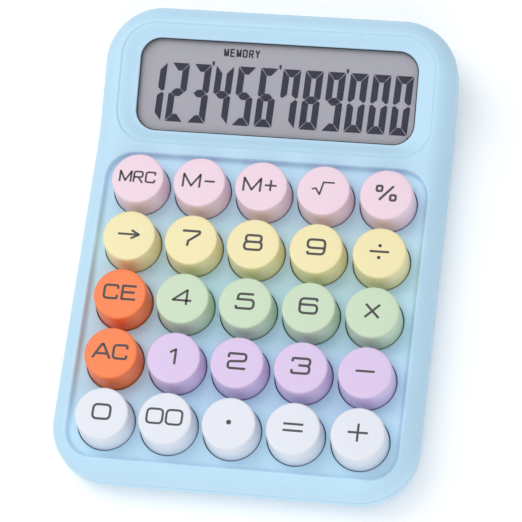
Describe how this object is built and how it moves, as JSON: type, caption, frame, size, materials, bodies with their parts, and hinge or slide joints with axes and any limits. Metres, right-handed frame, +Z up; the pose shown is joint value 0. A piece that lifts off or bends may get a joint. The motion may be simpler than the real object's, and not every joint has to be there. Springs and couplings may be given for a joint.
{
  "type": "desk calculator",
  "caption": "Desk calculator with a tilted segment display, round sprung keys in a sunk keypad, and a sliding battery door.",
  "frame": {"origin": "centre of the plan outline at table level, under the case", "axes": "+X to the user's right, +Y from the keypad towards the display, +Z up"},
  "size_m": [0.11, 0.1512, 0.0254],
  "materials": {
    "case_plastic": "fine satin moulding",
    "pink_key": "satin",
    "yellow_key": "satin",
    "green_key": "satin",
    "lilac_key": "satin",
    "white_key": "satin",
    "orange_key": "satin",
    "window_clear": "polished",
    "black_film": "matt",
    "lcd_glass": "smooth",
    "reflector_film": "satin",
    "inner_plastic": "satin",
    "ribbon_film": "smooth",
    "circuit_board": "lacquered",
    "silicone": "matt",
    "carbon_rubber": "matt",
    "black_resin": "domed resin",
    "black_ceramic": "matt",
    "capacitor_can": "drawn can",
    "screw_steel": "zinc plated",
    "foot_rubber": "matt",
    "cell_jacket": "printed foil jacket",
    "contact_plate": "nickel plated",
    "red_insulation": "smooth",
    "black_insulation": "smooth"
  },
  "bodies": {
    "case": {"front_housing": "case_plastic", "back_housing": "case_plastic", "display_window": "window_clear", "window_adhesive": "black_film", "lcd_panel": "lcd_glass", "lcd_reflector": "reflector_film", "lcd_frame": "inner_plastic", "lcd_ribbon": "ribbon_film", "main_board": "circuit_board", "dome_mat": "silicone", "contact_pills": "carbon_rubber", "processor_cover": "black_resin", "chip_resistors": "black_ceramic", "smoothing_capacitor": "capacitor_can", "case_screws": "screw_steel", "board_screws": "screw_steel", "frame_screws": "screw_steel", "rubber_feet": "foot_rubber", "battery_cell": "cell_jacket", "battery_contact_positive": "contact_plate", "battery_contact_spring": "contact_plate", "lead_red": "red_insulation", "lead_black": "black_insulation"},
    "door": {"battery_door": "case_plastic"},
    "key_memory_recall_body": {"key_memory_recall": "pink_key"},
    "key_memory_minus_body": {"key_memory_minus": "pink_key"},
    "key_memory_plus_body": {"key_memory_plus": "pink_key"},
    "key_square_root_body": {"key_square_root": "pink_key"},
    "key_percent_body": {"key_percent": "pink_key"},
    "key_backspace_body": {"key_backspace": "yellow_key"},
    "key_7_body": {"key_7": "yellow_key"},
    "key_8_body": {"key_8": "yellow_key"},
    "key_9_body": {"key_9": "yellow_key"},
    "key_divide_body": {"key_divide": "yellow_key"},
    "key_clear_entry_body": {"key_clear_entry": "orange_key"},
    "key_4_body": {"key_4": "green_key"},
    "key_5_body": {"key_5": "green_key"},
    "key_6_body": {"key_6": "green_key"},
    "key_multiply_body": {"key_multiply": "green_key"},
    "key_all_clear_body": {"key_all_clear": "orange_key"},
    "key_1_body": {"key_1": "lilac_key"},
    "key_2_body": {"key_2": "lilac_key"},
    "key_3_body": {"key_3": "lilac_key"},
    "key_subtract_body": {"key_subtract": "lilac_key"},
    "key_0_body": {"key_0": "white_key"},
    "key_00_body": {"key_00": "white_key"},
    "key_point_body": {"key_point": "white_key"},
    "key_equals_body": {"key_equals": "white_key"},
    "key_add_body": {"key_add": "white_key"}
  },
  "joints": [
    {"name": "battery_door_slide", "type": "slide", "parent": "case", "child": "door", "axis": [0, 1, 0], "range_m": [0, 0.019]},
    {"name": "key_memory_recall_press", "type": "slide", "parent": "case", "child": "key_memory_recall_body", "axis": [0, 0, -1], "range_m": [0, 0.0025], "stiffness_N_per_m": 150, "springref_m": -0.002, "deforming": ["dome_mat", "contact_pills"]},
    {"name": "key_memory_minus_press", "type": "slide", "parent": "case", "child": "key_memory_minus_body", "axis": [0, 0, -1], "range_m": [0, 0.0025], "stiffness_N_per_m": 150, "springref_m": -0.002, "deforming": ["dome_mat", "contact_pills"]},
    {"name": "key_memory_plus_press", "type": "slide", "parent": "case", "child": "key_memory_plus_body", "axis": [0, 0, -1], "range_m": [0, 0.0025], "stiffness_N_per_m": 150, "springref_m": -0.002, "deforming": ["dome_mat", "contact_pills"]},
    {"name": "key_square_root_press", "type": "slide", "parent": "case", "child": "key_square_root_body", "axis": [0, 0, -1], "range_m": [0, 0.0025], "stiffness_N_per_m": 150, "springref_m": -0.002, "deforming": ["dome_mat", "contact_pills"]},
    {"name": "key_percent_press", "type": "slide", "parent": "case", "child": "key_percent_body", "axis": [0, 0, -1], "range_m": [0, 0.0025], "stiffness_N_per_m": 150, "springref_m": -0.002, "deforming": ["dome_mat", "contact_pills"]},
    {"name": "key_backspace_press", "type": "slide", "parent": "case", "child": "key_backspace_body", "axis": [0, 0, -1], "range_m": [0, 0.0025], "stiffness_N_per_m": 150, "springref_m": -0.002, "deforming": ["dome_mat", "contact_pills"]},
    {"name": "key_7_press", "type": "slide", "parent": "case", "child": "key_7_body", "axis": [0, 0, -1], "range_m": [0, 0.0025], "stiffness_N_per_m": 150, "springref_m": -0.002, "deforming": ["dome_mat", "contact_pills"]},
    {"name": "key_8_press", "type": "slide", "parent": "case", "child": "key_8_body", "axis": [0, 0, -1], "range_m": [0, 0.0025], "stiffness_N_per_m": 150, "springref_m": -0.002, "deforming": ["dome_mat", "contact_pills"]},
    {"name": "key_9_press", "type": "slide", "parent": "case", "child": "key_9_body", "axis": [0, 0, -1], "range_m": [0, 0.0025], "stiffness_N_per_m": 150, "springref_m": -0.002, "deforming": ["dome_mat", "contact_pills"]},
    {"name": "key_divide_press", "type": "slide", "parent": "case", "child": "key_divide_body", "axis": [0, 0, -1], "range_m": [0, 0.0025], "stiffness_N_per_m": 150, "springref_m": -0.002, "deforming": ["dome_mat", "contact_pills"]},
    {"name": "key_clear_entry_press", "type": "slide", "parent": "case", "child": "key_clear_entry_body", "axis": [0, 0, -1], "range_m": [0, 0.0025], "stiffness_N_per_m": 150, "springref_m": -0.002, "deforming": ["dome_mat", "contact_pills"]},
    {"name": "key_4_press", "type": "slide", "parent": "case", "child": "key_4_body", "axis": [0, 0, -1], "range_m": [0, 0.0025], "stiffness_N_per_m": 150, "springref_m": -0.002, "deforming": ["dome_mat", "contact_pills"]},
    {"name": "key_5_press", "type": "slide", "parent": "case", "child": "key_5_body", "axis": [0, 0, -1], "range_m": [0, 0.0025], "stiffness_N_per_m": 150, "springref_m": -0.002, "deforming": ["dome_mat", "contact_pills"]},
    {"name": "key_6_press", "type": "slide", "parent": "case", "child": "key_6_body", "axis": [0, 0, -1], "range_m": [0, 0.0025], "stiffness_N_per_m": 150, "springref_m": -0.002, "deforming": ["dome_mat", "contact_pills"]},
    {"name": "key_multiply_press", "type": "slide", "parent": "case", "child": "key_multiply_body", "axis": [0, 0, -1], "range_m": [0, 0.0025], "stiffness_N_per_m": 150, "springref_m": -0.002, "deforming": ["dome_mat", "contact_pills"]},
    {"name": "key_all_clear_press", "type": "slide", "parent": "case", "child": "key_all_clear_body", "axis": [0, 0, -1], "range_m": [0, 0.0025], "stiffness_N_per_m": 150, "springref_m": -0.002, "deforming": ["dome_mat", "contact_pills"]},
    {"name": "key_1_press", "type": "slide", "parent": "case", "child": "key_1_body", "axis": [0, 0, -1], "range_m": [0, 0.0025], "stiffness_N_per_m": 150, "springref_m": -0.002, "deforming": ["dome_mat", "contact_pills"]},
    {"name": "key_2_press", "type": "slide", "parent": "case", "child": "key_2_body", "axis": [0, 0, -1], "range_m": [0, 0.0025], "stiffness_N_per_m": 150, "springref_m": -0.002, "deforming": ["dome_mat", "contact_pills"]},
    {"name": "key_3_press", "type": "slide", "parent": "case", "child": "key_3_body", "axis": [0, 0, -1], "range_m": [0, 0.0025], "stiffness_N_per_m": 150, "springref_m": -0.002, "deforming": ["dome_mat", "contact_pills"]},
    {"name": "key_subtract_press", "type": "slide", "parent": "case", "child": "key_subtract_body", "axis": [0, 0, -1], "range_m": [0, 0.0025], "stiffness_N_per_m": 150, "springref_m": -0.002, "deforming": ["dome_mat", "contact_pills"]},
    {"name": "key_0_press", "type": "slide", "parent": "case", "child": "key_0_body", "axis": [0, 0, -1], "range_m": [0, 0.0025], "stiffness_N_per_m": 150, "springref_m": -0.002, "deforming": ["dome_mat", "contact_pills"]},
    {"name": "key_00_press", "type": "slide", "parent": "case", "child": "key_00_body", "axis": [0, 0, -1], "range_m": [0, 0.0025], "stiffness_N_per_m": 150, "springref_m": -0.002, "deforming": ["dome_mat", "contact_pills"]},
    {"name": "key_point_press", "type": "slide", "parent": "case", "child": "key_point_body", "axis": [0, 0, -1], "range_m": [0, 0.0025], "stiffness_N_per_m": 150, "springref_m": -0.002, "deforming": ["dome_mat", "contact_pills"]},
    {"name": "key_equals_press", "type": "slide", "parent": "case", "child": "key_equals_body", "axis": [0, 0, -1], "range_m": [0, 0.0025], "stiffness_N_per_m": 150, "springref_m": -0.002, "deforming": ["dome_mat", "contact_pills"]},
    {"name": "key_add_press", "type": "slide", "parent": "case", "child": "key_add_body", "axis": [0, 0, -1], "range_m": [0, 0.0025], "stiffness_N_per_m": 150, "springref_m": -0.002, "deforming": ["dome_mat", "contact_pills"]}
  ]
}
